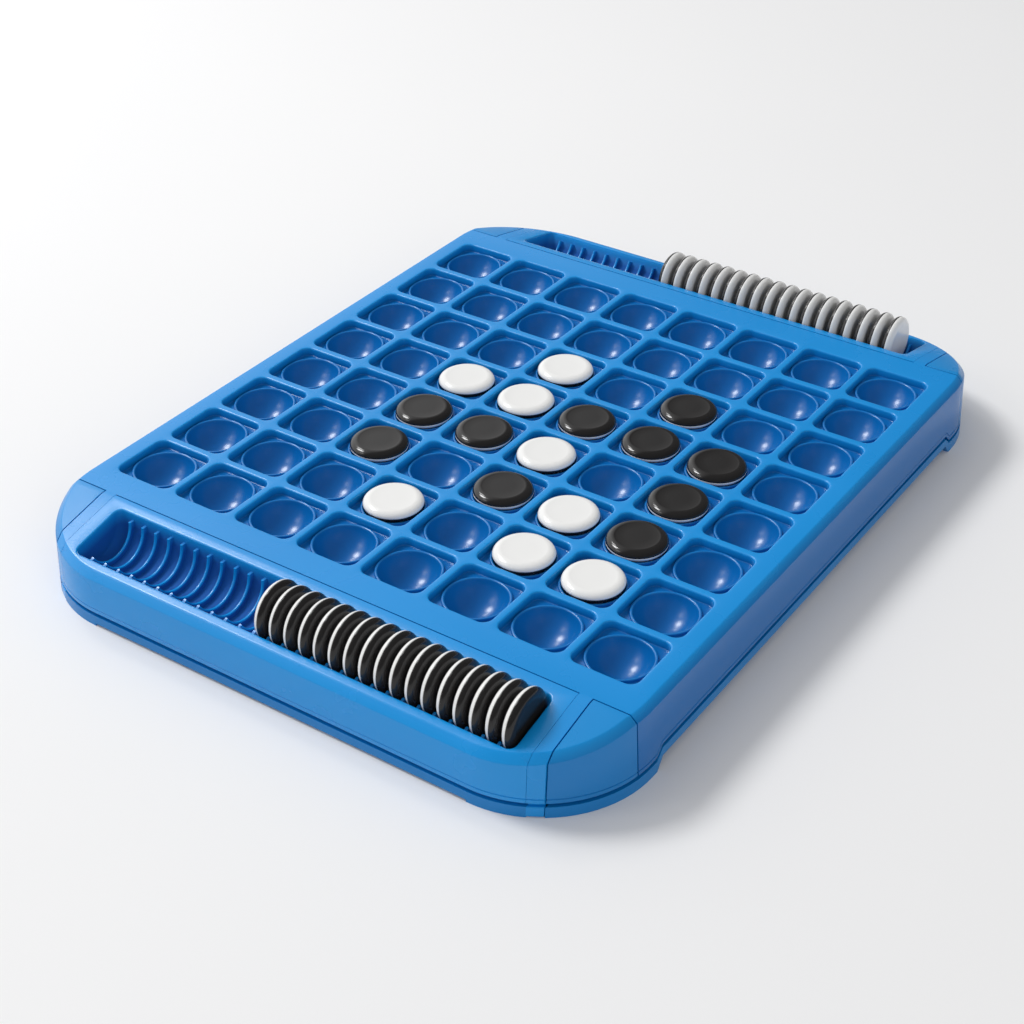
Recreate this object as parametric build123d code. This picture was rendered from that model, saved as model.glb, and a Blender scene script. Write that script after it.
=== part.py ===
from build123d import *
import math
import os

# A reversi board game: a deck of square recesses with a bowl in each, a rack for
# discs at both ends, corner blocks, a base pan, and two-sided discs.
# Millimetres. The origin is on the table under the middle of the board, +X runs
# along the front rack, +Y from the front rack to the rear one, +Z up.

# Disc
disc_diameter = 23.6
disc_thickness = 4.7
disc_edge_radius = 2.15
spigot_radius = 6.0
spigot_height = 1.2
spigot_clearance = 0.05

# Square recess with its lip and bowl
squares_per_side = 8
finger_room = 1.5
bar_width = 3.4
recess_corner_radius = 3.8
recess_depth = 3.6
recess_edge_break = 0.5
recess_floor = 2.0
lip_overlap = 0.2
lip_width = 1.15
lip_round = 0.5
lip_depth = 2.45
bowl_depth = 9.6
bowl_wall = 2.0
seat_gap = 0.3

# Rack
rack_slots = 30
slot_play = 0.385
rib_thickness = 1.1
rib_height = 2.2
rib_drop = 2.6
trough_room = 0.65
trough_wall = 2.0
trough_corner_radius = 3.0
trough_flat = 3.0
rack_end_room = 0.75
rack_end_land = 6.3
rack_disc_show = 8.0
trough_offset = 17.8

# Body
deck_height = 30.6
side_margin = 9.8
deck_end_margin = 11.2
end_length = 37.2
corner_radius = 45.0
edge_bevel = 2.5
draft = 3.0
slope_start = 2.3
slope_angle = 12.6
wall = 2.4
plate = 2.4
seam = 0.5
flange_depth = 7.0
flange_thickness = 1.6
strap_width = 4.8
strap_web = 1.6

# Joint between the upper mouldings and the base
side_joint_height = 9.3
end_joint_height = 5.8
joint_groove = 1.4
step_run = 3.7
foot_zone = 48.0
tongue_clearance = 0.3
tongue_thickness = 1.6
tongue_rise = 2.5
base_floor_height = 4.6
base_floor = 2.0
rim_wall = 2.4
rim_ledge = 2.0
rim_border = 6.0
end_rim_lift = 1.0
foot_zone_width = 45.0
foot_pad_radius = 7.0
strap_tab_lift = 1.0

# Screws and bosses
screw_shank_radius = 1.4
screw_shank_length = 6.0
screw_head_radius = 2.8
screw_head_height = 1.8
screw_recess = 0.4
screw_drive_width = 0.8
screw_drive_reach = 1.8
pilot_clearance = 0.05
through_clearance = 0.2
head_clearance = 0.4
boss_radius = 3.6
base_boss_room = 1.0
corner_boss_inset = 6.8
grid_border = 1.2
base_boss_height = 4.2
pilot_spare = 0.4

# Screws under the deck, counted in squares from the middle, and how far a cutting shape overruns
screw_columns = (-2, 2)
screw_rows = (-3, 0, 3)
overrun = 1.0

# Discs in play, named by column a to h from the left and row 1 to 8 from the front
white_up = ["d2", "f2", "g2", "f3", "e4", "c5", "d5", "d6"]
black_up = ["c3", "e3", "g3", "c4", "d4", "g4", "e5", "f5", "g5", "f6"]
front_first_slot = 13
front_disc_count = 17
rear_first_slot = 11
rear_disc_count = 18

# Dependent sizes
disc_radius = disc_diameter / 2
disc_core_radius = disc_radius - disc_edge_radius
half_thickness = disc_thickness / 2
edge_band = half_thickness - disc_edge_radius
recess_side = disc_diameter + 2 * finger_room
square_pitch = recess_side + bar_width
board_half = squares_per_side * square_pitch / 2
half_width = board_half + side_margin
deck_end = board_half + deck_end_margin
half_length = deck_end + end_length
slope = math.tan(math.radians(slope_angle))
slope_line = deck_end + slope_start

lip_radius = disc_radius - lip_overlap
lip_outer_radius = lip_radius + lip_width
lip_top = deck_height - lip_depth
recess_bottom = deck_height - recess_depth
slab_bottom = recess_bottom - recess_floor
bowl_bottom = lip_top - bowl_depth
bowl_sag = bowl_depth - lip_round
bowl_radius = (lip_radius ** 2 + bowl_sag ** 2) / (2 * bowl_sag)
bowl_centre = bowl_bottom + bowl_radius

# The disc rests with its round edge on the round inner edge of the lip
seat_reach = disc_edge_radius + seat_gap + lip_round
seat_run = lip_radius + lip_round - disc_core_radius
seat_rise = math.sqrt(seat_reach ** 2 - seat_run ** 2)
disc_mid = lip_top - lip_round + seat_rise + edge_band

slot_pitch = disc_thickness + 2 * slot_play + rib_thickness
opening_half = (rack_slots * slot_pitch - rib_thickness) / 2 + rack_end_room
rack_half = opening_half + rack_end_land
strap_inner = rack_half + seam
strap_outer = strap_inner + strap_width
trough_radius = disc_radius + trough_room
trough_line = deck_end + trough_offset
trough_height = deck_height + rack_disc_show - disc_radius

step_start = half_length - foot_zone - step_run
step_end = half_length - foot_zone
boss_foot = base_floor_height + base_boss_height
screw_seat = base_floor_height + screw_recess + screw_head_height
far = 2 * (half_width + half_length)
tall = 4 * deck_height


def node(name, shape):
    """Writes one named sub-part."""
    shape.label = name
    export_step(shape, f"parts/{name}.step")
    solids = shape.solids()
    print(f"{name}: {len(solids)} solids, {sum(s.volume for s in solids):.1f} mm3")


def profile_along_x(points, half):
    """A closed profile given as (y, z) points, extruded both ways along X."""
    face = Plane.YZ * make_face(Polyline(*points, close=True))
    return extrude(face, half, both=True)


def block(x_low, x_high, y_low, y_high, z_low, z_high):
    """A box between two corners."""
    centre = ((x_low + x_high) / 2, (y_low + y_high) / 2, (z_low + z_high) / 2)
    return Pos(*centre) * Box(x_high - x_low, y_high - y_low, z_high - z_low)


def cylinder_up(x, y, z_low, z_high, radius):
    """An upright cylinder between two heights."""
    return Pos(x, y, (z_low + z_high) / 2) * Cylinder(radius, z_high - z_low)


def plan(inset, z_low, z_high):
    """The rounded outline of the whole board, drawn in by inset, with the draft of its walls."""
    inset = inset + z_low * math.tan(math.radians(draft))
    width = 2 * (half_width - inset)
    length = 2 * (half_length - inset)
    outline = RectangleRounded(width, length, corner_radius - inset)
    return extrude(Pos(0, 0, z_low) * outline, z_high - z_low, taper=draft)


def joint_line(lift):
    """Points of the stepped joint line seen from the side, lifted by the given height."""
    low = end_joint_height + lift
    high = side_joint_height + lift
    rear_half = [(step_start, high), (step_end, low), (far, low)]
    front_half = [(-y, z) for y, z in reversed(rear_half)]
    return front_half + rear_half


def below_joint(lift):
    """Everything under the stepped joint line."""
    return profile_along_x([(-far, -far)] + joint_line(lift) + [(far, -far)], far)


def under_slope(drop, y_low):
    """Everything lower than drop under the rear slope, carried on in a straight line to y_low."""
    top = deck_height - drop
    high = top + slope * (slope_line - y_low)
    low = top - slope * (far - slope_line)
    return profile_along_x([(y_low, -far), (y_low, high), (far, low), (far, -far)], far)


def outer_body():
    """The upper body as one block, with sloping ends and bevelled top edge."""
    flat = plan(0, 0, deck_height)
    flat = chamfer(flat.edges().group_by(Axis.Z)[-1], edge_bevel)
    sloped = plan(0, 0, tall) & under_slope(0, -far)
    top = sloped.faces().sort_by(Axis.Z)[-1]
    sloped = chamfer(top.edges(), edge_bevel)
    return (flat & sloped & mirror(sloped, Plane.XZ)) - below_joint(0)


def hollow():
    """The room under the upper body's plate and inside its walls."""
    sloped = under_slope(plate, -far)
    return plan(wall, -overrun, deck_height - plate) & sloped & mirror(sloped, Plane.XZ)


def square_centres():
    """Centres of the squares, with their names."""
    for column in range(squares_per_side):
        for row in range(squares_per_side):
            x = (column + 0.5) * square_pitch - board_half
            y = (row + 0.5) * square_pitch - board_half
            yield chr(ord("a") + column) + str(row + 1), x, y


def square_cut():
    """What one square takes out of the deck: the recess, less its lip, and the bowl."""
    outline = RectangleRounded(recess_side, recess_side, recess_corner_radius)
    recess = extrude(Pos(0, 0, recess_bottom) * outline, recess_depth)
    flare_side = recess_side + 2 * recess_edge_break
    flare_outline = RectangleRounded(flare_side, flare_side, recess_corner_radius + recess_edge_break)
    flare = loft([Pos(0, 0, deck_height - recess_edge_break) * outline, Pos(0, 0, deck_height) * flare_outline])
    with BuildSketch(Plane.XZ) as lip_section:
        with Locations(((lip_radius + lip_outer_radius) / 2, (recess_bottom - lip_round + lip_top) / 2)):
            Rectangle(lip_width, lip_top - recess_bottom + lip_round)
        upper = lip_section.vertices().group_by(Axis.Z)[-1]
        fillet(upper, lip_round)
    lip = revolve(lip_section.sketch, Axis.Z)
    bowl = Pos(0, 0, bowl_centre) * Sphere(bowl_radius)
    bowl = bowl & cylinder_up(0, 0, bowl_bottom - overrun, recess_bottom + lip_round, lip_radius)
    return (recess + flare - lip) + bowl


def bowl_skin():
    """The outside of one bowl, under the slab."""
    skin = Pos(0, 0, bowl_centre) * Sphere(bowl_radius + bowl_wall)
    return skin & block(-far, far, -far, far, -far, recess_bottom - recess_floor / 2)


def screw_places():
    """Where the screws go: under the deck, the racks and the corner blocks."""
    deck = [(column * square_pitch, row * square_pitch) for column in screw_columns for row in screw_rows]
    rack = [(column * square_pitch, sy * trough_line) for column in screw_columns for sy in (-1, 1)]
    corner_x = strap_outer + seam + corner_boss_inset
    corner_y = deck_end + seam + corner_boss_inset + flange_thickness
    corner = [(sx * corner_x, sy * corner_y) for sx in (-1, 1) for sy in (-1, 1)]
    return deck, rack, corner


def pilot_hole(x, y):
    """The blind hole that a screw bites into."""
    top = screw_seat + screw_shank_length + pilot_spare
    return cylinder_up(x, y, boss_foot - overrun, top, screw_shank_radius + pilot_clearance)


def deck_shell(body, room):
    """The playing deck with its side walls, end walls, straps and screw bosses."""
    shell = body - room
    middle = block(-far, far, -deck_end, deck_end, -far, far)
    deck = shell & middle
    grid_half = board_half + grid_border
    slab = block(-grid_half, grid_half, -grid_half, grid_half, slab_bottom, deck_height - plate / 2)
    centres = [(x, y) for _, x, y in square_centres()]
    skin = bowl_skin()
    deck = deck + slab + [Pos(x, y, 0) * skin for x, y in centres]
    reach = half_width - wall / 2
    end_wall = block(-reach, reach, deck_end - wall, deck_end, boss_foot, deck_height - plate / 2)
    deck = deck + [end_wall, mirror(end_wall, Plane.XZ)]
    for sx in (-1, 1):
        for sy in (-1, 1):
            deck = deck + strap(body, shell, sx, sy)
    boss_top = recess_bottom - recess_floor / 2
    deck = deck + [cylinder_up(x, y, boss_foot, boss_top, boss_radius) for x, y in screw_places()[0]]
    cut = square_cut()
    deck = deck - [Pos(x, y, 0) * cut for x, y in centres]
    return deck - [pilot_hole(x, y) for x, y in screw_places()[0]]


def strap(body, shell, sx, sy):
    """One strap: a skin over the end, a web under it, and a tab over the base rim."""
    low, high = sorted((sx * strap_inner, sx * strap_outer))
    near, out = sorted((sy * (deck_end - wall), sy * far))
    lane = block(low, high, near, out, -far, far)
    middle = (low + high) / 2
    web = body & block(middle - strap_web / 2, middle + strap_web / 2, near, out, boss_foot, far)
    ring = plan(0, strap_tab_lift, deck_height / 2) - plan(wall, 0, deck_height)
    tab = ring & lane
    return [shell & lane, web, tab]


def rack(body, room):
    """The rear rack; the front one is the same moulding turned round."""
    start = deck_end + seam
    lane = block(-rack_half, rack_half, start, far, -far, far)
    shell = (body - room) & lane
    inner_half = rack_half - flange_thickness
    flange_room = block(-inner_half, inner_half, start + flange_thickness, far, -far, far)
    flanges = (body & lane & plan(wall / 2, 0, tall)) - flange_room - under_slope(flange_depth, -far)
    places = [(x, y) for x, y in screw_places()[1] if y > 0]
    boss_top = trough_height - trough_radius - trough_wall / 2
    bosses = [cylinder_up(x, y, boss_foot, boss_top, boss_radius) for x, y in places]
    moulding = shell + flanges + (trough(trough_wall, deck_height) & body) + bosses
    moulding = moulding - trough(0, far) + ribs()
    return moulding - [pilot_hole(x, y) for x, y in places]


def trough(grown, top):
    """The trough's room: round below the disc line with a narrow flat floor, straight above, all grown alike."""
    radius = trough_radius + grown
    half = opening_half + grown
    plan_radius = trough_corner_radius + grown
    floor = trough_height - math.sqrt(radius**2 - (trough_flat / 2) ** 2)
    round_part = Pos(0, trough_line, trough_height) * (Rot(0, 90, 0) * Cylinder(radius, 2 * half))
    round_part = round_part & block(-far, far, 0, far, floor, far)
    straight = block(-half, half, trough_line - radius, trough_line + radius, trough_height, top)
    outline = Pos(0, trough_line, 0) * RectangleRounded(2 * half, 2 * radius, plan_radius)
    return (round_part + straight) & extrude(outline, top)


def slot_centre(index):
    """X of a slot, counted from the left."""
    return (index + 0.5 - rack_slots / 2) * slot_pitch


def ribs():
    """The thin ribs that part the slots."""
    root = trough_radius + trough_wall / 2
    crest = trough_radius - rib_height
    ring = Rot(0, 90, 0) * (Cylinder(root, rib_thickness) - Cylinder(crest, far))
    ring = Pos(0, trough_line, trough_height) * ring
    half = rib_thickness / 2
    sides = block(-half, half, trough_line - root, trough_line + root, trough_height, deck_height)
    gap = block(-far, far, trough_line - crest, trough_line + crest, trough_height, far)
    lower = ring & block(-far, far, -far, far, -far, trough_height)
    rib = (lower + (sides - gap)) & under_slope(rib_drop, -far)
    return [Pos(slot_centre(k) + slot_pitch / 2, 0, 0) * rib for k in range(rack_slots - 1)]


def corner_block(body, room):
    """The rear right corner block; the others are its mirror images."""
    inner_x = strap_outer + seam
    inner_y = deck_end + seam
    lane = block(inner_x, far, inner_y, far, -far, far)
    shell = (body - room) & lane
    walls = (body & lane) - block(inner_x + flange_thickness, far, inner_y + flange_thickness, far, -far, far)
    walls = walls & plan(wall / 2, boss_foot, tall)
    x, y = [place for place in screw_places()[2] if place[0] > 0 and place[1] > 0][0]
    boss = cylinder_up(x, y, boss_foot, deck_height, boss_radius) & body
    return (shell + walls + boss) - pilot_hole(x, y)


def base_pan():
    """The base: a floor, a tongue inside the upper walls, and a stepped rim that ends in feet."""
    inset = wall + tongue_clearance
    floor = plan(inset, base_floor_height, base_floor_height + base_floor)
    ledge_bottom = end_joint_height - joint_groove - rim_ledge
    inner = plan(inset + tongue_thickness, -overrun, tall)
    tongue = (plan(inset, ledge_bottom, tall) - inner) & below_joint(tongue_rise)
    tongue = tongue - side_gap()
    rim = plan(0, 0, tall) - plan(rim_wall, -overrun, tall)
    ledge = plan(0, ledge_bottom, tall) - inner
    rim = (rim + ledge) & below_joint(-joint_groove)
    rim = rim - side_gap()
    side_border = plan(0, base_floor_height, tall) - plan(rim_border, -overrun, tall)
    side_border = side_border & below_joint(-joint_groove)
    side_border = side_border & block(-far, far, -step_end, step_end, -far, far)
    raised_half = half_width - foot_zone_width
    lift = block(-raised_half, raised_half, -far, far, -far, end_rim_lift)
    pan = floor + tongue + rim + side_border - lift
    deck, racks, corners = screw_places()
    places = deck + racks + corners
    base_boss_radius = boss_radius + base_boss_room
    pan = pan + [cylinder_up(x, y, base_floor_height, boss_foot, base_boss_radius) for x, y in places]
    foot_top = base_floor_height + base_floor / 2
    pan = pan + [cylinder_up(x, y, 0, foot_top, foot_pad_radius) for x, y in foot_places()]
    pocket_radius = screw_head_radius + head_clearance
    for x, y in places:
        pan = pan - cylinder_up(x, y, base_floor_height - overrun, screw_seat, pocket_radius)
        pan = pan - cylinder_up(x, y, 0, far, screw_shank_radius + through_clearance)
    return pan - strap_notches()


def side_gap():
    """The finger room under each long side, between the feet."""
    rear_half = [(step_start, base_floor_height), (step_end, 0), (step_end, -far)]
    front_half = [(-y, z) for y, z in reversed(rear_half)]
    return profile_along_x(front_half + rear_half, far)


def foot_places():
    """Centres of the round foot pads."""
    x = half_width - foot_zone_width / 2 - rim_wall
    y = half_length - foot_zone + foot_pad_radius + rim_wall
    return [(sx * x, sy * y) for sx in (-1, 1) for sy in (-1, 1)]


def strap_notches():
    """Notches in the base rim for the tabs of the straps."""
    low = strap_inner - tongue_clearance
    high = strap_outer + tongue_clearance
    ring = plan(-overrun, -overrun, tall) - plan(wall + tongue_clearance, -2 * overrun, tall)
    right = ring & block(low, high, -far, far, -overrun, far)
    return [right, mirror(right, Plane.YZ)]


def screws():
    """The screws, as one group of separate solids."""
    head = cylinder_up(0, 0, screw_seat - screw_head_height, screw_seat, screw_head_radius)
    shank = cylinder_up(0, 0, screw_seat, screw_seat + screw_shank_length, screw_shank_radius)
    reach = screw_drive_reach
    half = screw_drive_width / 2
    drive_top = screw_seat - screw_head_height / 2
    cross = block(-reach, reach, -half, half, 0, drive_top) + block(-half, half, -reach, reach, 0, drive_top)
    screw = head + shank - cross
    deck, racks, corners = screw_places()
    return Compound([Pos(x, y, 0) * screw for x, y in deck + racks + corners])


def half_disc(side):
    """One half of a disc lying with its mid-plane at z = 0: side 1 is the upper half."""
    body = Pos(0, 0, half_thickness / 2) * Cylinder(disc_radius, half_thickness)
    rim = body.edges().group_by(Axis.Z)[-1]
    body = fillet(rim, disc_edge_radius)
    return body if side > 0 else mirror(body, Plane.XY)


def white_half(side):
    """The white half, with the spigot that holds the two halves together."""
    spigot = Pos(0, 0, -side * spigot_height / 2) * Cylinder(spigot_radius, spigot_height)
    return half_disc(side) + spigot


def black_half(side):
    """The black half, with the socket for the spigot."""
    depth = spigot_height + spigot_clearance
    socket = Pos(0, 0, side * depth / 2) * Cylinder(spigot_radius + spigot_clearance, depth)
    return half_disc(side) - socket


def board_discs():
    """Two nodes for each disc on the board."""
    for name, x, y in square_centres():
        if name in white_up or name in black_up:
            up = 1 if name in white_up else -1
            place = Pos(x, y, disc_mid)
            node(f"disc_{name}_white", place * white_half(up))
            node(f"disc_{name}_black", place * black_half(-up))


def rack_discs(label, first, count, white_side):
    """The discs standing in a rack: the first is a node pair of its own, the rest are one group a colour."""
    y = -trough_line if label == "front" else trough_line
    stand = Rot(0, 90, 0)
    whites = []
    blacks = []
    for k in range(first, first + count):
        place = Pos(slot_centre(k), y, trough_height) * stand
        whites.append(place * white_half(white_side))
        blacks.append(place * black_half(-white_side))
    node(f"{label}_next_disc_white", whites[0])
    node(f"{label}_next_disc_black", blacks[0])
    node(f"{label}_row_white_halves", Compound(whites[1:]))
    node(f"{label}_row_black_halves", Compound(blacks[1:]))


def main():
    os.makedirs("parts", exist_ok=True)
    body = outer_body()
    room = hollow()
    node("playing_deck", deck_shell(body, room))
    rear = rack(body, room)
    node("rear_rack", rear)
    node("front_rack", Rot(0, 0, 180) * rear)
    corner = corner_block(body, room)
    node("rear_right_corner", corner)
    node("rear_left_corner", mirror(corner, Plane.YZ))
    node("front_right_corner", mirror(corner, Plane.XZ))
    node("front_left_corner", Rot(0, 0, 180) * corner)
    node("base", base_pan())
    node("base_screws", screws())
    board_discs()
    rack_discs("front", front_first_slot, front_disc_count, -1)
    rack_discs("rear", rear_first_slot, rear_disc_count, 1)


main()
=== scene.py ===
import math
import bpy
import bmesh
from mathutils import Matrix, Vector


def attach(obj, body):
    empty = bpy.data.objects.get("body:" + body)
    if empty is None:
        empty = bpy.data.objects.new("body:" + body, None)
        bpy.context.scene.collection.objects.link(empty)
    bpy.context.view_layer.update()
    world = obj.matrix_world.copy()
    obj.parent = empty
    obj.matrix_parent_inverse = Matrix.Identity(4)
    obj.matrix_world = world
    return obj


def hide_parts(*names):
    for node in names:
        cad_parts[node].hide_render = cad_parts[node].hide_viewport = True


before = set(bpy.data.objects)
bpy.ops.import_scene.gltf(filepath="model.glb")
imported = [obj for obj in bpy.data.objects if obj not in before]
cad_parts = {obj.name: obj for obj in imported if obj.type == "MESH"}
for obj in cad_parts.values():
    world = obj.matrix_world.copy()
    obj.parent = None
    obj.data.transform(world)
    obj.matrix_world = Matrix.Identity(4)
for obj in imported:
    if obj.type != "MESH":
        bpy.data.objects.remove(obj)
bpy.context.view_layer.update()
print("stage: frame loaded")

# All shapes are worked out in millimetres and scaled once, when a piece is made.
mm = 0.001
xAxis = 0
yAxis = 1
mergeDistance = 1e-3
cutTolerance = 1e-4
rounding = dict(segments=2, aboveAngle=55)

# The four quarters of a ring: the signs of x and y, and whether the points run backwards there
quarters = ((1, 1, False), (-1, 1, True), (-1, -1, False), (1, -1, True))

# Sizes of the upper body and the trough, which shapes and materials share
body = dict(
    halfWidth=129.8, halfLength=168.4, cornerRadius=45.0, cornerSteps=28, draft=math.tan(math.radians(3.0)),
    top=30.6, slopeLine=133.5, slope=math.tan(math.radians(12.6)), deckEnd=131.2, seam=0.5,
    jointEnd=5.8, jointSide=9.3, stepStart=116.7, stepEnd=120.4, wall=2.4, coreHeight=12.2,
    rackHalf=105.05, strapOuter=110.35, strapGap=0.12,
)
trough = dict(
    line=149.0, height=26.8, radius=12.45, half=98.75, cornerRadius=3.0, cornerSteps=6, steps=16,
    rim=((0.75, 0.0), (0.48, 0.05), (0.24, 0.16), (0.08, 0.36), (0.0, 0.65)),  # outwards, down
    belowTop=0.7,
)


# Mesh helpers

def topHeight(y):
    return body["top"] - body["slope"] * max(0.0, abs(y) - body["slopeLine"])


def jointHeight(y):
    share = (abs(y) - body["stepStart"]) / (body["stepEnd"] - body["stepStart"])
    share = min(1.0, max(0.0, share))
    return body["jointSide"] + share * (body["jointEnd"] - body["jointSide"])


def bodyOutline():
    # points of the outline at table height with their outward directions, once round
    radius = body["cornerRadius"]
    cx = body["halfWidth"] - radius
    cy = body["halfLength"] - radius
    quarter = [(body["halfWidth"], body[key], 1.0, 0.0) for key in ("stepStart", "stepEnd")]
    for k in range(body["cornerSteps"] + 1):
        a = math.pi / 2 * k / body["cornerSteps"]
        c = math.cos(a)
        s = math.sin(a)
        quarter.append((cx + radius * c, cy + radius * s, c, s))
    turned = []
    for sx, sy, back in quarters:
        part = [(sx * x, sy * y, sx * nx, sy * ny) for x, y, nx, ny in quarter]
        turned += part[::-1] if back else part
    return turned


def lowRing(inset, height):
    # one closed ring on the walls, with its height given as a function of y
    ring = []
    for x, y, nx, ny in bodyOutline():
        inward = inset + height(y) * body["draft"]
        ring.append((x - nx * inward, y - ny * inward, height(y)))
    return ring


def topRing(inset, depth):
    # one closed ring near the top edge, drawn as if the ends didn't slope yet
    ring = []
    for x, y, nx, ny in bodyOutline():
        py = y
        for _ in range(4):  # a few rounds settle where the drafted wall meets the slope
            inward = inset + (topHeight(py) - depth) * body["draft"]
            py = y - ny * inward
        ring.append((x - nx * inward, py, body["top"] - depth))
    return ring


def roundedRing(halfX, halfY, radius, height, cornerSteps, centreY):
    ring = []
    for sx, sy, back in quarters:
        part = []
        for k in range(cornerSteps + 1):
            a = math.pi / 2 * k / cornerSteps
            x = sx * (halfX - radius + radius * math.cos(a))
            y = centreY + sy * (halfY - radius + radius * math.sin(a))
            part.append((x, y, height(y)))
        ring += part[::-1] if back else part
    return ring


def addRing(bm, points):
    verts = [bm.verts.new(p) for p in points]
    return [bm.edges.new((verts[k - 1], verts[k])) for k in range(len(verts))]


def loft(bm, rings):
    # rings that follow each other lie at least 0.01 apart in height, or the bridge may twist
    loops = [addRing(bm, ring) for ring in rings]
    for low, high in zip(loops, loops[1:]):
        bmesh.ops.bridge_loops(bm, edges=low + high)
    return loops


def everything(bm):
    return bm.verts[:] + bm.edges[:] + bm.faces[:]


def keepSide(bm, axis, value, side):
    # cuts with a plane across an axis, keeps the side named by its sign, and closes the cut
    normal = Vector((0, 0, 0))
    normal[axis] = -side
    point = Vector((0, 0, 0))
    point[axis] = value
    cut = bmesh.ops.bisect_plane(
        bm, geom=everything(bm), dist=cutTolerance, plane_co=point, plane_no=normal, clear_outer=True
    )["geom_cut"]
    edges = [e for e in cut if isinstance(e, bmesh.types.BMEdge)]
    bmesh.ops.holes_fill(bm, edges=edges, sides=0)


def mirrored(bm, sx, sy):
    made = bm.copy()
    bmesh.ops.scale(made, vec=(sx, sy, 1), verts=made.verts)
    if sx * sy < 0:
        bmesh.ops.reverse_faces(made, faces=made.faces)
    return made


def placed(bm, matrix):
    made = bm.copy()
    bmesh.ops.transform(made, matrix=matrix, verts=made.verts)
    return made


def append(bm, other):
    # adds the other mesh, which is used up
    scratch = bpy.data.meshes.new("scratch")
    other.to_mesh(scratch)
    other.free()
    bm.from_mesh(scratch)
    bpy.data.meshes.remove(scratch)


def piece(name, bm, material, bodyName, nodes, sharpAngle, edgeRound=0.0):
    bmesh.ops.remove_doubles(bm, verts=bm.verts, dist=mergeDistance)
    bmesh.ops.recalc_face_normals(bm, faces=bm.faces)
    bmesh.ops.scale(bm, vec=(mm, mm, mm), verts=bm.verts)
    mesh = bpy.data.meshes.new(name)
    bm.to_mesh(mesh)
    bm.free()
    mesh.shade_smooth()
    mesh.set_sharp_from_angle(angle=math.radians(sharpAngle))
    mesh.materials.append(material)
    obj = bpy.data.objects.new(name, mesh)
    bpy.context.collection.objects.link(obj)
    if edgeRound:
        soft = obj.modifiers.new("edgeRound", "BEVEL")
        soft.width = edgeRound * mm
        soft.segments = rounding["segments"]
        soft.limit_method = "ANGLE"
        soft.angle_limit = math.radians(rounding["aboveAngle"])
        soft.use_clamp_overlap = True
    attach(obj, bodyName)
    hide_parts(*nodes)


# Node helpers

def feed(tree, value, socket):
    # links another node's socket, or sets a plain value
    if isinstance(value, bpy.types.NodeSocket):
        tree.links.new(value, socket)
    else:
        socket.default_value = value


def group(name, inputs, outputs):
    tree = bpy.data.node_groups.new(name, "ShaderNodeTree")
    for label, kind, value in inputs:
        socket = tree.interface.new_socket(label, in_out="INPUT", socket_type=kind)
        socket.default_value = value
    for label, kind in outputs:
        tree.interface.new_socket(label, in_out="OUTPUT", socket_type=kind)
    return tree, tree.nodes.new("NodeGroupInput"), tree.nodes.new("NodeGroupOutput")


def mixColor(tree, factor, a, b):
    mix = tree.nodes.new("ShaderNodeMix")
    mix.data_type = "RGBA"
    for index, value in ((0, factor), (6, a), (7, b)):  # the factor and the two colour sockets
        feed(tree, value, mix.inputs[index])
    return mix.outputs[2]


def mapRange(tree, value, low, high, fromLow=0.0, fromHigh=1.0):
    node = tree.nodes.new("ShaderNodeMapRange")
    tree.links.new(value, node.inputs["Value"])
    for label, number in (("From Min", fromLow), ("From Max", fromHigh), ("To Min", low), ("To Max", high)):
        feed(tree, number, node.inputs[label])
    return node.outputs["Result"]


def noise(tree, coords, scale, detail=2.0):
    node = tree.nodes.new("ShaderNodeTexNoise")
    tree.links.new(coords, node.inputs["Vector"])
    feed(tree, scale, node.inputs["Scale"])
    node.inputs["Detail"].default_value = detail
    return node.outputs["Fac"]


def calculate(tree, operation, a, b):
    node = tree.nodes.new("ShaderNodeMath")
    node.operation = operation
    for socket, value in zip(node.inputs, (a, b)):
        feed(tree, value, socket)
    return node.outputs[0]


# Plastic: what all mouldings and discs share

surface = dict(driftScale=14.0, patchScale=55.0, patchDetail=3.0, grainDetail=4.0, noiseLow=0.3, noiseHigh=0.7)
grainDistance = 0.00005


def plasticGroup():
    # moulded plastic: slow colour drift, uneven gloss and a fine grain; where it lies sunk under the top face,
    # duller and with painted shade, a darker colour standing in for the shade there
    tree, enter, leave = group(
        "mouldedPlastic",
        [("Light", "NodeSocketColor", (1, 1, 1, 1)), ("Dark", "NodeSocketColor", (0, 0, 0, 1)),
         ("Painted Shade", "NodeSocketColor", (0, 0, 0, 1)), ("Sunk", "NodeSocketFloat", 0.0),
         ("Gloss Low", "NodeSocketFloat", 0.2), ("Gloss High", "NodeSocketFloat", 0.3),
         ("Deep Gloss", "NodeSocketFloat", 0.3), ("Grain Scale", "NodeSocketFloat", 1500.0)],
        [("Color", "NodeSocketColor"), ("Roughness", "NodeSocketFloat"), ("Height", "NodeSocketFloat")],
    )
    given = enter.outputs
    low = surface["noiseLow"]
    high = surface["noiseHigh"]
    coords = tree.nodes.new("ShaderNodeTexCoord").outputs["Object"]
    drift = mapRange(tree, noise(tree, coords, surface["driftScale"]), 0.0, 1.0, low, high)
    color = mixColor(tree, drift, given["Dark"], given["Light"])
    # Painted shade: the colour turns to the darker sunk colour as the point lies further under the top face
    tree.links.new(mixColor(tree, given["Sunk"], color, given["Painted Shade"]), leave.inputs["Color"])
    patches = noise(tree, coords, surface["patchScale"], surface["patchDetail"])
    gloss = mapRange(tree, patches, given["Gloss Low"], given["Gloss High"], low, high)
    tree.links.new(mapRange(tree, given["Sunk"], gloss, given["Deep Gloss"]), leave.inputs["Roughness"])
    grain = noise(tree, coords, given["Grain Scale"], surface["grainDetail"])
    tree.links.new(grain, leave.inputs["Height"])
    return tree


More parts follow.
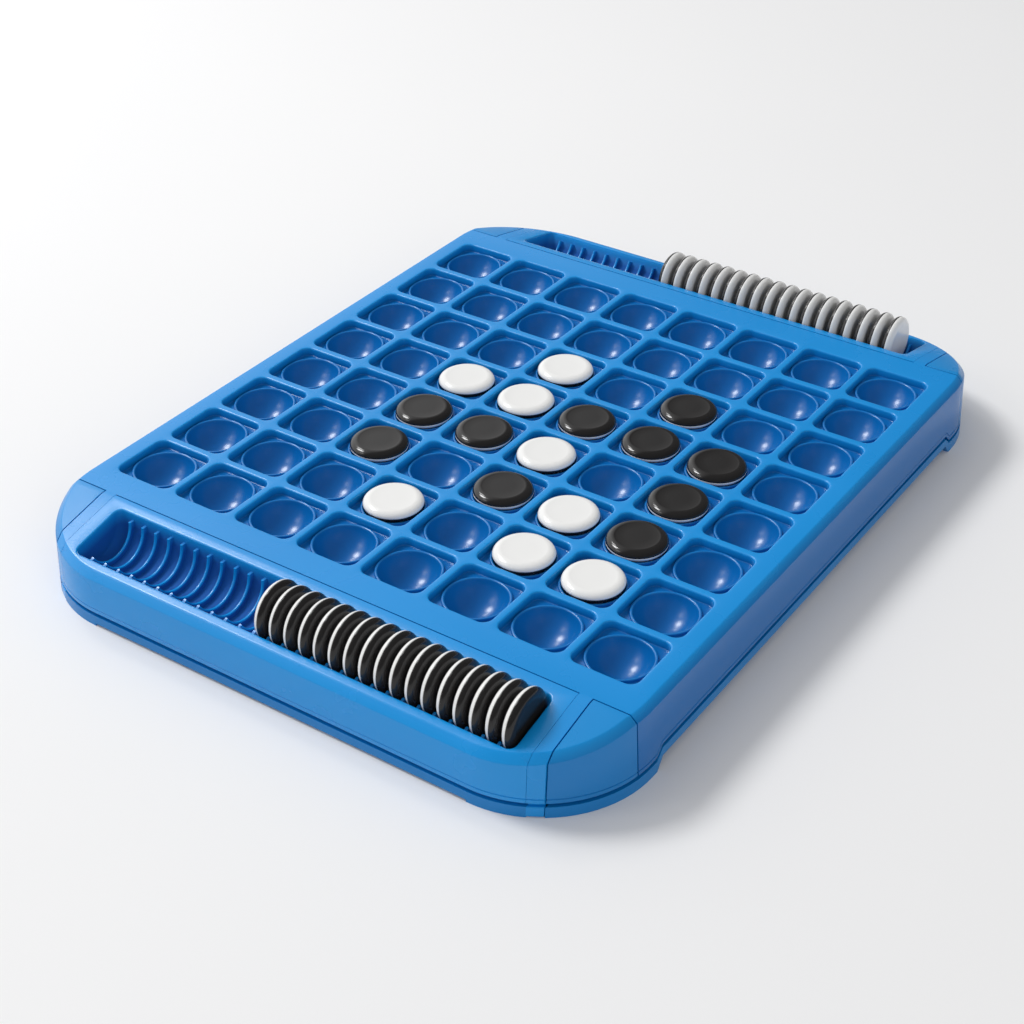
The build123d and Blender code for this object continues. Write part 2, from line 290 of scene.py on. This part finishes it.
def sunkGroup():
    # how deep a point lies under the top face, which sets where the painted shade and the duller gloss go, up
    # to a given distance from the middle of the board, leaving out what is nearer to the line of the trough
    # than the hollow radius, such as the rib crests, which so keep the plain colour
    tree, enter, leave = group(
        "sunkShare",
        [("Start Depth", "NodeSocketFloat", 0.0005), ("Full Depth", "NodeSocketFloat", 0.003),
         ("Reach", "NodeSocketFloat", 1.0), ("Hollow Radius", "NodeSocketFloat", 0.0),
         ("Hollow Half Length", "NodeSocketFloat", 0.0)],
        [("Share", "NodeSocketFloat")],
    )
    given = enter.outputs
    apart = tree.nodes.new("ShaderNodeSeparateXYZ")
    tree.links.new(tree.nodes.new("ShaderNodeTexCoord").outputs["Object"], apart.inputs[0])
    along = calculate(tree, "ABSOLUTE", apart.outputs["Y"], 0.0)
    past = calculate(tree, "MAXIMUM", calculate(tree, "SUBTRACT", along, body["slopeLine"] * mm), 0.0)
    top = calculate(tree, "SUBTRACT", body["top"] * mm, calculate(tree, "MULTIPLY", past, body["slope"]))
    depth = calculate(tree, "SUBTRACT", top, apart.outputs["Z"])
    share = mapRange(tree, depth, 0.0, 1.0, given["Start Depth"], given["Full Depth"])
    inside = calculate(tree, "LESS_THAN", along, given["Reach"])
    aside = calculate(tree, "SUBTRACT", along, trough["line"] * mm)
    below = calculate(tree, "SUBTRACT", apart.outputs["Z"], trough["height"] * mm)
    asideSquare = calculate(tree, "POWER", aside, 2.0)
    belowSquare = calculate(tree, "POWER", below, 2.0)
    fromLine = calculate(tree, "SQRT", calculate(tree, "ADD", asideSquare, belowSquare), 0.0)
    far = calculate(tree, "GREATER_THAN", fromLine, given["Hollow Radius"])
    across = calculate(tree, "ABSOLUTE", apart.outputs["X"], 0.0)
    ended = calculate(tree, "GREATER_THAN", across, given["Hollow Half Length"])
    kept = calculate(tree, "MULTIPLY", inside, calculate(tree, "MAXIMUM", far, ended))
    tree.links.new(calculate(tree, "MULTIPLY", share, kept), leave.inputs["Share"])
    return tree


plasticNodes = plasticGroup()
sunkNodes = sunkGroup()


def plastic(name, finish):
    material = bpy.data.materials.new(name)
    material.use_nodes = True
    tree = material.node_tree
    shader = tree.nodes["Principled BSDF"]
    use = tree.nodes.new("ShaderNodeGroup")
    use.node_tree = plasticNodes
    use.inputs["Light"].default_value = (*finish["light"], 1)
    use.inputs["Dark"].default_value = (*finish["dark"], 1)
    use.inputs["Gloss Low"].default_value = finish["glossLow"]
    use.inputs["Gloss High"].default_value = finish["glossHigh"]
    use.inputs["Grain Scale"].default_value = finish["grainScale"]
    # Painted shade: a darker colour mixed in where a point lies under the top face, with its own roughness
    # there
    if "paintedSunkShade" in finish:
        paintedSunkShade = finish["paintedSunkShade"]
        sunk = tree.nodes.new("ShaderNodeGroup")
        sunk.node_tree = sunkNodes
        sunk.inputs["Start Depth"].default_value = paintedSunkShade["start"]
        sunk.inputs["Full Depth"].default_value = paintedSunkShade["full"]
        sunk.inputs["Reach"].default_value = paintedSunkShade["reach"]
        sunk.inputs["Hollow Radius"].default_value = paintedSunkShade["hollow"]
        sunk.inputs["Hollow Half Length"].default_value = paintedSunkShade["hollowHalf"]
        use.inputs["Painted Shade"].default_value = (*paintedSunkShade["color"], 1)
        use.inputs["Deep Gloss"].default_value = paintedSunkShade["gloss"]
        tree.links.new(sunk.outputs["Share"], use.inputs["Sunk"])
    tree.links.new(use.outputs["Color"], shader.inputs["Base Color"])
    tree.links.new(use.outputs["Roughness"], shader.inputs["Roughness"])
    bump = tree.nodes.new("ShaderNodeBump")
    bump.inputs["Strength"].default_value = finish["grain"]
    bump.inputs["Distance"].default_value = grainDistance
    tree.links.new(use.outputs["Height"], bump.inputs["Height"])
    tree.links.new(bump.outputs["Normal"], shader.inputs["Normal"])
    shader.inputs["Specular IOR Level"].default_value = finish["specular"]
    return material


# The depths and reaches of the painted shade under the top face are in metres; a hollow of -1 leaves nothing
# out
deckBlue = plastic("deckBlue", dict(
    light=(0.006, 0.290, 0.740), dark=(0.004, 0.270, 0.700), glossLow=0.24, glossHigh=0.30,
    grainScale=1600, grain=0.2, specular=0.45,
    # Painted shade in the recesses and bowls of the squares and on the side walls
    paintedSunkShade=dict(start=0.0004, full=0.0030, reach=0.1313, hollow=-1.0, hollowHalf=0.0,
              color=(0.002, 0.145, 0.460), gloss=0.24),
))
rackBlue = plastic("rackBlue", dict(
    light=(0.006, 0.300, 0.760), dark=(0.004, 0.280, 0.720), glossLow=0.23, glossHigh=0.29,
    grainScale=1600, grain=0.2, specular=0.45,
    # Painted shade in the trough channels, leaving the rib crests lit
    paintedSunkShade=dict(start=0.0008, full=0.0060, reach=0.1618, hollow=0.0108, hollowHalf=0.0970,
              color=(0.002, 0.100, 0.400), gloss=0.85),
))
cornerBlue = plastic("cornerBlue", dict(
    light=(0.008, 0.280, 0.690), dark=(0.006, 0.255, 0.650), glossLow=0.26, glossHigh=0.32,
    grainScale=1600, grain=0.2, specular=0.40,
    # Painted shade on the corner walls below the top face
    paintedSunkShade=dict(start=0.0004, full=0.0030, reach=1.0, hollow=-1.0, hollowHalf=0.0,
              color=(0.004, 0.195, 0.540), gloss=0.30),
))
baseBlue = plastic("baseBlue", dict(
    light=(0.004, 0.215, 0.580), dark=(0.003, 0.190, 0.530), glossLow=0.30, glossHigh=0.38,
    grainScale=1600, grain=0.2, specular=0.40,
))
discWhite = plastic("discWhite", dict(
    light=(0.87, 0.87, 0.86), dark=(0.84, 0.84, 0.83), glossLow=0.14, glossHigh=0.20,
    grainScale=1200, grain=0.05, specular=0.40,
))
discBlack = plastic("discBlack", dict(
    light=(0.019, 0.018, 0.018), dark=(0.015, 0.014, 0.014), glossLow=0.11, glossHigh=0.15,
    grainScale=1200, grain=0.05, specular=0.40,
))
# The screws take the same uneven gloss and grain, as metal
screwSteel = plastic("screwSteel", dict(
    light=(0.50, 0.50, 0.52), dark=(0.38, 0.38, 0.40), glossLow=0.28, glossHigh=0.42,
    grainScale=3000, grain=0.2, specular=0.5,
))
screwSteel.node_tree.nodes["Principled BSDF"].inputs["Metallic"].default_value = 1.0
print("stage: materials")


# The upper body as one closed block, from which the deck, racks, straps and corners are cut

moulding = dict(
    foot=((body["wall"], 0.02), (0.35, 0.0), (0.1, 0.1), (0.0, 0.35)),  # inwards, above the joint line
    line=((0.0, 1.55), (0.28, 1.75), (0.28, 1.95), (0.0, 2.15)),  # a fine line above it
    top=((0.0, 2.85), (0.06, 2.6), (0.22, 2.32), (2.15, 0.36),
         (2.42, 0.14), (2.65, 0.03), (2.95, 0.0)),  # inwards, below the top face
    sharpAngle=38, edgeRound=0.25,
)
tab = dict(foot=0.3, groove=1.4, grooveDepth=1.3, edge=0.3, turn=0.02)


def tabRings():
    # the skin of a strap goes on down over the base rim, and the groove runs across it
    foot = tab["foot"]
    edge = tab["edge"]
    turn = tab["turn"]
    joint = body["jointEnd"]
    grooveFoot = joint - tab["groove"]
    steps = (
        (body["wall"], foot + turn), (edge, foot), (0.0, foot + edge),
        (0.0, grooveFoot - edge), (edge, grooveFoot),
        (tab["grooveDepth"], grooveFoot + turn), (tab["grooveDepth"], joint - turn),
    )
    return [lowRing(inset, lambda y: z) for inset, z in steps]


def bodyBlock(tabbed=False):
    rings = [lowRing(body["wall"], lambda y: body["coreHeight"])]
    if tabbed:
        rings += tabRings()
    for inset, lift in moulding["foot"] + moulding["line"]:
        rings.append(lowRing(inset, lambda y: jointHeight(y) + lift))
    for inset, depth in moulding["top"]:
        rings.append(topRing(inset, depth))
    bm = bmesh.new()
    loops = loft(bm, rings)
    for loop in (loops[0], loops[-1]):
        bmesh.ops.contextual_create(bm, geom=loop)
    for side in (-1, 1):
        fold = (0, side * body["slopeLine"], 0)
        bmesh.ops.bisect_plane(bm, geom=everything(bm), dist=cutTolerance, plane_co=fold, plane_no=(0, 1, 0))
    for v in bm.verts:
        if v.co.z > body["coreHeight"] + 1:  # what lies above the core follows the slope of the ends
            v.co.z -= body["top"] - topHeight(v.co.y)
    bmesh.ops.recalc_face_normals(bm, faces=bm.faces)
    return bm


def openTop(bm, pastSlope):
    # takes away the largest upward face; past the slope line, only among those beyond it
    upward = 0.9
    lowest = 20
    faces = [f for f in bm.faces if f.normal.z > upward and f.calc_center_median().z > lowest]
    if pastSlope:
        faces = [f for f in faces if abs(f.calc_center_median().y) > body["slopeLine"] + 1]
    largest = max(faces, key=lambda f: f.calc_area())
    bmesh.ops.delete(bm, geom=[largest], context="FACES_ONLY")


def closeTop(bm):
    # fills the flat space left between an opened face's outline and the loop inside it
    rims = [e for e in bm.edges if e.is_boundary]
    bmesh.ops.triangle_fill(bm, edges=rims, use_beauty=True, use_dissolve=False)


# One square: rounded opening, recess wall, floor, raised lip and bowl

cell = dict(
    pitch=30.0, count=8, half=13.3, cornerRadius=3.8, depth=3.6, sideSteps=6, cornerSteps=6, lipTop=2.45,
    opening=((0.85, 0.01), (0.55, 0.05), (0.28, 0.18), (0.1, 0.42), (0.0, 0.8)),  # outwards, down
    floorEdge=((0.0, 0.35), (0.1, 0.12), (0.28, 0.0)),  # inwards, above the floor
    lipFoot=((12.95, 0.01), (12.82, 0.06), (12.75, 0.2)),  # radius, above the floor
    lipCrest=((12.75, 0.4), (12.62, 0.13), (12.35, 0.01), (12.1, 0.0),
              (11.85, 0.1), (11.68, 0.28), (11.6, 0.5)),  # radius, below the top of the lip
    bowl=(11.35, 10.9, 10.1, 9.0, 7.6, 6.0, 4.2, 2.2, 0.6), bowlRadius=11.94, bowlCentre=-0.11,
)


def fourSides(part):
    # one side with its corner, turned round to all four
    ring = []
    for turn in range(4):
        spin = Matrix.Rotation(math.pi / 2 * turn, 3, "Z")
        ring += [tuple(spin @ Vector(p)) for p in part]
    return ring


def sidePoints(half, straight, z):
    steps = cell["sideSteps"]
    return [(half, straight * (2 * k / steps - 1), z) for k in range(steps)]


def squareRing(half, radius, z):
    straight = half - radius
    part = sidePoints(half, straight, z)
    for k in range(cell["cornerSteps"]):
        a = math.pi / 2 * k / cell["cornerSteps"]
        part.append((straight + radius * math.cos(a), straight + radius * math.sin(a), z))
    return fourSides(part)


def borderRing(half, straight, z):
    # the square border of one cell, with its points spread like those of the opening
    part = sidePoints(half, straight, z)
    for k in range(cell["cornerSteps"]):
        share = 2 * k / cell["cornerSteps"]
        if share <= 1:
            part.append((half, straight + (half - straight) * share, z))
        else:
            part.append((half - (half - straight) * (share - 1), half, z))
    return fourSides(part)


def circleRing(radius, z):
    steps = cell["sideSteps"] + cell["cornerSteps"]
    count = 4 * steps
    shift = -math.pi / 4 * cell["sideSteps"] / steps
    ring = []
    for k in range(count):
        a = shift + 2 * math.pi * k / count
        ring.append((radius * math.cos(a), radius * math.sin(a), z))
    return ring


def oneSquare():
    half = cell["half"]
    radius = cell["cornerRadius"]
    depth = cell["depth"]
    rings = [borderRing(cell["pitch"] / 2, half - radius, 0.0)]
    for grow, drop in cell["opening"]:
        rings.append(squareRing(half + grow, radius + grow, -drop))
    for shrink, rise in cell["floorEdge"]:
        rings.append(squareRing(half - shrink, radius - shrink, -depth + rise))
    for r, rise in cell["lipFoot"]:
        rings.append(circleRing(r, -depth + rise))
    for r, drop in cell["lipCrest"]:
        rings.append(circleRing(r, -cell["lipTop"] - drop))
    for r in cell["bowl"]:
        rings.append(circleRing(r, cell["bowlCentre"] - math.sqrt(cell["bowlRadius"] ** 2 - r ** 2)))
    bm = bmesh.new()
    loops = loft(bm, rings)
    bmesh.ops.contextual_create(bm, geom=loops[-1])
    return bm


def gridMesh():
    one = oneSquare()
    grid = bmesh.new()
    count = cell["count"]
    for i in range(count):
        for j in range(count):
            x = (i + 0.5 - count / 2) * cell["pitch"]
            y = (j + 0.5 - count / 2) * cell["pitch"]
            moved = one.copy()
            bmesh.ops.translate(moved, vec=(x, y, body["top"]), verts=moved.verts)
            append(grid, moved)
    one.free()
    bmesh.ops.remove_doubles(grid, verts=grid.verts, dist=mergeDistance)
    return grid


def playingDeck(block):
    bm = block.copy()
    keepSide(bm, yAxis, body["deckEnd"], -1)
    keepSide(bm, yAxis, -body["deckEnd"], 1)
    openTop(bm, False)
    append(bm, gridMesh())
    closeTop(bm)
    strap = bodyBlock(True)
    keepSide(strap, xAxis, body["rackHalf"] + body["strapGap"], 1)
    keepSide(strap, xAxis, body["strapOuter"], -1)
    keepSide(strap, yAxis, body["deckEnd"], 1)
    for sx in (-1, 1):
        for sy in (-1, 1):
            append(bm, mirrored(strap, sx, sy))
    strap.free()
    return bm


# Racks: a half-round trough with a row of ribs

rib = dict(
    count=29, pitch=6.57, thickness=1.1, crest=10.25, root=12.8, start=-90.0, end=65.5, steps=22,
    crestRound=0.35, shoulderIn=0.12, shoulderDown=0.1,
)


def addRibs(bm):
    half = rib["thickness"] / 2
    root = rib["root"]
    crest = rib["crest"]
    rounded = rib["crestRound"]
    inward = rib["shoulderIn"]
    down = rib["shoulderDown"]
    profile = [
        (-half, root), (-half, crest + rounded), (-half + inward, crest + down), (-half + rounded, crest),
        (half - rounded, crest), (half - inward, crest + down), (half, crest + rounded), (half, root),
    ]
    one = bmesh.new()
    start = math.radians(rib["start"])
    sweep = math.radians(rib["end"] - rib["start"])
    verts = [one.verts.new((x, r * math.sin(start), -r * math.cos(start))) for x, r in profile]
    edges = [one.edges.new(pair) for pair in zip(verts, verts[1:] + verts[:1])]
    bmesh.ops.spin(
        one, geom=verts + edges, cent=(0, 0, 0), axis=(1, 0, 0), angle=sweep,
        steps=rib["steps"], use_merge=False,
    )
    bmesh.ops.holes_fill(one, edges=one.edges, sides=0)
    bmesh.ops.translate(one, vec=(0, trough["line"], trough["height"]), verts=one.verts)
    for k in range(rib["count"]):
        x = (k - (rib["count"] - 1) / 2) * rib["pitch"]
        moved = one.copy()
        bmesh.ops.translate(moved, vec=(x, 0, 0), verts=moved.verts)
        append(bm, moved)
    one.free()


def rackBlock(block):
    bm = block.copy()
    keepSide(bm, yAxis, body["deckEnd"] + body["seam"], 1)
    keepSide(bm, xAxis, body["rackHalf"], -1)
    keepSide(bm, xAxis, -body["rackHalf"], 1)
    openTop(bm, True)
    half = trough["half"]
    radius = trough["radius"]
    corner = trough["cornerRadius"]
    cornerSteps = trough["cornerSteps"]
    line = trough["line"]
    rings = []
    for grow, drop in trough["rim"]:
        rings.append(roundedRing(
            half + grow, radius + grow, corner + grow, lambda y: topHeight(y) - drop, cornerSteps, line
        ))
    for k in range(trough["steps"]):
        a = math.pi / 2 * k / trough["steps"]
        width = radius * math.cos(a)
        floor = trough["height"] - radius * math.sin(a)
        rings.append(roundedRing(
            half, width, min(corner, width),
            lambda y: min(floor, topHeight(y) - trough["belowTop"]), cornerSteps, line,
        ))
    loops = loft(bm, rings)
    bmesh.ops.contextual_create(bm, geom=loops[-1])
    closeTop(bm)
    addRibs(bm)
    return bm


def boardPiece(name, bm, material, node):
    piece(name, bm, material, "board", [node], moulding["sharpAngle"], moulding["edgeRound"])


block = bodyBlock()
boardPiece("playing_deck_skin", playingDeck(block), deckBlue, "playing_deck")
rear = rackBlock(block)
boardPiece("front_rack_skin", mirrored(rear, -1, -1), rackBlue, "front_rack")
boardPiece("rear_rack_skin", rear, rackBlue, "rear_rack")
corner = block.copy()
keepSide(corner, yAxis, body["deckEnd"] + body["seam"], 1)
keepSide(corner, xAxis, body["strapOuter"] + body["seam"], 1)
corners = (("rear_right", 1, 1), ("rear_left", -1, 1), ("front_right", 1, -1), ("front_left", -1, -1))
for name, sx, sy in corners:
    boardPiece(f"{name}_corner_skin", mirrored(corner, sx, sy), cornerBlue, f"{name}_corner")
corner.free()
block.free()
print("stage: board")


# Discs: two halves, each turned from a profile

disc = dict(
    radius=11.8, half=2.35, edgeRadial=3.0, edgeAxial=2.27, edgeSteps=10, middle=29.49, steps=72,
    dish=0.06, dishEdge=((0.9, 0.06), (0.55, 0.03), (0.2, 0.0)),  # inwards from the edge, down
    partingInset=0.06, partingGap=0.02, sharpAngle=60,
)


def halfDisc(side):
    # a half that lies with its inner face at z = 0; side 1 is the upper one
    r = disc["radius"]
    h = disc["half"]
    e = disc["edgeAxial"]
    flat = r - disc["edgeRadial"]
    profile = [(0.0, h - disc["dish"]), (flat * 0.5, h - disc["dish"])]
    profile += [(flat - inward, h - drop) for inward, drop in disc["dishEdge"]]
    for k in range(disc["edgeSteps"] + 1):
        a = math.pi / 2 * k / disc["edgeSteps"]
        profile.append((flat + disc["edgeRadial"] * math.sin(a), h - e + e * math.cos(a)))
    profile += [(r - disc["partingInset"], disc["partingGap"]), (0.0, disc["partingGap"])]
    bm = bmesh.new()
    verts = [bm.verts.new((x, 0, side * z)) for x, z in profile]
    edges = [bm.edges.new(pair) for pair in zip(verts, verts[1:])]
    bmesh.ops.spin(
        bm, geom=verts + edges, cent=(0, 0, 0), axis=(0, 0, 1), angle=2 * math.pi,
        steps=disc["steps"], use_merge=True,
    )
    bmesh.ops.remove_doubles(bm, verts=bm.verts, dist=mergeDistance)
    return bm


discMaterials = {"white": discWhite, "black": discBlack}
upper = halfDisc(1)
lower = halfDisc(-1)

# The game on the board: a letter counts squares from the left, a number from the front
whiteUp = ["d2", "f2", "g2", "f3", "e4", "c5", "d5", "d6"]
blackUp = ["c3", "e3", "g3", "c4", "d4", "g4", "e5", "f5", "g5", "f6"]
for name in whiteUp + blackUp:
    x = ("abcdefgh".index(name[0]) - 3.5) * cell["pitch"]
    y = (int(name[1]) - 4.5) * cell["pitch"]
    matrix = Matrix.Translation((x, y, disc["middle"]))
    for color, faceUp in (("white", whiteUp), ("black", blackUp)):
        half = placed(upper if name in faceUp else lower, matrix)
        piece(f"{name}_{color}_half", half, discMaterials[color], f"disc_{name}",
              [f"disc_{name}_{color}"], disc["sharpAngle"])

# The discs on edge: how many slots stay free on the left, and which way the white halves face
rackSlots = 30
rackRows = dict(
    front=dict(side=-1, freeSlots=13, count=17, whiteSide=-1),
    rear=dict(side=1, freeSlots=11, count=18, whiteSide=1),
)


def rackRow(label, row):
    turn = Matrix.Rotation(math.pi / 2, 4, "Y")
    rest = {"white": bmesh.new(), "black": bmesh.new()}
    first = row["freeSlots"]
    for k in range(first, first + row["count"]):
        x = (k + 0.5 - rackSlots / 2) * rib["pitch"]
        matrix = Matrix.Translation((x, row["side"] * trough["line"], trough["height"])) @ turn
        for color, side in (("white", row["whiteSide"]), ("black", -row["whiteSide"])):
            half = placed(upper if side > 0 else lower, matrix)
            if k == first:
                piece(f"{label}_next_{color}_half", half, discMaterials[color], f"{label}_next_disc",
                      [f"{label}_next_disc_{color}"], disc["sharpAngle"])
            else:
                append(rest[color], half)
    for color, halves in rest.items():
        piece(f"{label}_row_{color}", halves, discMaterials[color], f"{label}_row",
              [f"{label}_row_{color}_halves"], disc["sharpAngle"])


for label, row in rackRows.items():
    rackRow(label, row)
upper.free()
lower.free()
print("stage: discs")


# Frame nodes that stay as they are get a finish of their own
for name, material in (("base", baseBlue), ("base_screws", screwSteel)):
    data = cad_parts[name].data
    data.materials.clear()
    data.materials.append(material)


# Floor, light and camera

ground = dict(
    size=6.0, dark=(0.87, 0.87, 0.875, 1), light=(0.90, 0.90, 0.905, 1), toneScale=3.0,
    roughness=0.7, specular=0.2,
)


def floorMaterial():
    material = bpy.data.materials.new("paleFloor")
    material.use_nodes = True
    tree = material.node_tree
    shader = tree.nodes["Principled BSDF"]
    coords = tree.nodes.new("ShaderNodeTexCoord").outputs["Object"]
    tone = mixColor(tree, noise(tree, coords, ground["toneScale"]), ground["dark"], ground["light"])
    tree.links.new(tone, shader.inputs["Base Color"])
    shader.inputs["Roughness"].default_value = ground["roughness"]
    shader.inputs["Specular IOR Level"].default_value = ground["specular"]
    return material


def stageFloor():
    bm = bmesh.new()
    bmesh.ops.create_grid(bm, x_segments=4, y_segments=4, size=ground["size"])
    mesh = bpy.data.meshes.new("floor")
    bm.to_mesh(mesh)
    bm.free()
    mesh.materials.append(floorMaterial())
    floor = bpy.data.objects.new("floor", mesh)
    bpy.context.collection.objects.link(floor)


# Lamps stand on a sphere round the board; the fill lights it without a highlight of its own
lampDistance = 2.2
lamps = dict(
    key=dict(towards=(-0.64, -0.08, 0.75), size=0.66, power=23.0, highlight=True),
    sheen=dict(towards=(-0.63, 0.22, 0.74), size=0.42, power=4.0, highlight=True),
    front=dict(towards=(-0.56, -0.56, 0.62), size=0.60, power=2.5, highlight=True),
    fill=dict(towards=(0.75, -0.45, 0.42), size=1.2, power=6.5, highlight=False),
)


def softLight(name, values):
    lamp = bpy.data.lights.new(name, "AREA")
    lamp.shape = "DISK"
    lamp.size = values["size"]
    lamp.energy = values["power"]
    obj = bpy.data.objects.new(name, lamp)
    bpy.context.collection.objects.link(obj)
    aim = Vector(values["towards"]).normalized()
    obj.location = aim * lampDistance
    obj.rotation_euler = aim.to_track_quat("Z", "Y").to_euler()
    obj.visible_glossy = values["highlight"]


# The world is an even fill for what is lit, and a softbox wall on the left for what is mirrored
skyFill = dict(towards=(-0.80, 0.10, 0.59), fromLow=0.60, fromHigh=0.95, low=0.41, high=0.76)
skyMirror = dict(towards=(-0.97, 0.0, 0.24), fromLow=0.48, fromHigh=0.80, low=0.12, high=1.50)


def skyLevel(tree, direction, values):
    facing = tree.nodes.new("ShaderNodeVectorMath")
    facing.operation = "DOT_PRODUCT"
    tree.links.new(direction, facing.inputs[0])
    facing.inputs[1].default_value = values["towards"]
    return mapRange(
        tree, facing.outputs["Value"], values["low"], values["high"], values["fromLow"], values["fromHigh"]
    )


def studioSky():
    world = bpy.data.worlds.new("studio")
    bpy.context.scene.world = world
    world.use_nodes = True
    tree = world.node_tree
    direction = tree.nodes.new("ShaderNodeTexCoord").outputs["Generated"]
    fill = skyLevel(tree, direction, skyFill)
    mirror = skyLevel(tree, direction, skyMirror)
    isMirror = tree.nodes.new("ShaderNodeLightPath").outputs["Is Glossy Ray"]
    background = tree.nodes["Background"]
    tree.links.new(mapRange(tree, isMirror, fill, mirror), background.inputs["Strength"])
    background.inputs["Color"].default_value = (1, 1, 1, 1)


view = dict(
    lens=66.0, sensorWidth=36.0, clipEnd=50, eye=(0.35792667, -0.53641303, 0.43018724),
    right=(0.82539226, 0.56453139, -0.00565014),
    up=(-0.31540312, 0.4694002, 0.82473288),
    back=(0.46823978, -0.67894607, 0.56549425),
)


def studioCamera():
    lens = bpy.data.cameras.new("camera")
    lens.lens = view["lens"]
    lens.sensor_width = view["sensorWidth"]
    lens.sensor_fit = "HORIZONTAL"
    lens.clip_end = view["clipEnd"]
    camera = bpy.data.objects.new("camera", lens)
    bpy.context.collection.objects.link(camera)
    turned = Matrix([Vector(view[key]) for key in ("right", "up", "back")]).transposed().to_4x4()
    camera.matrix_world = Matrix.Translation(view["eye"]) @ turned
    bpy.context.scene.camera = camera


stageFloor()
for name, values in lamps.items():
    softLight(name, values)
studioSky()
studioCamera()
bpy.context.scene.view_settings.view_transform = "Standard"
print("stage: studio")
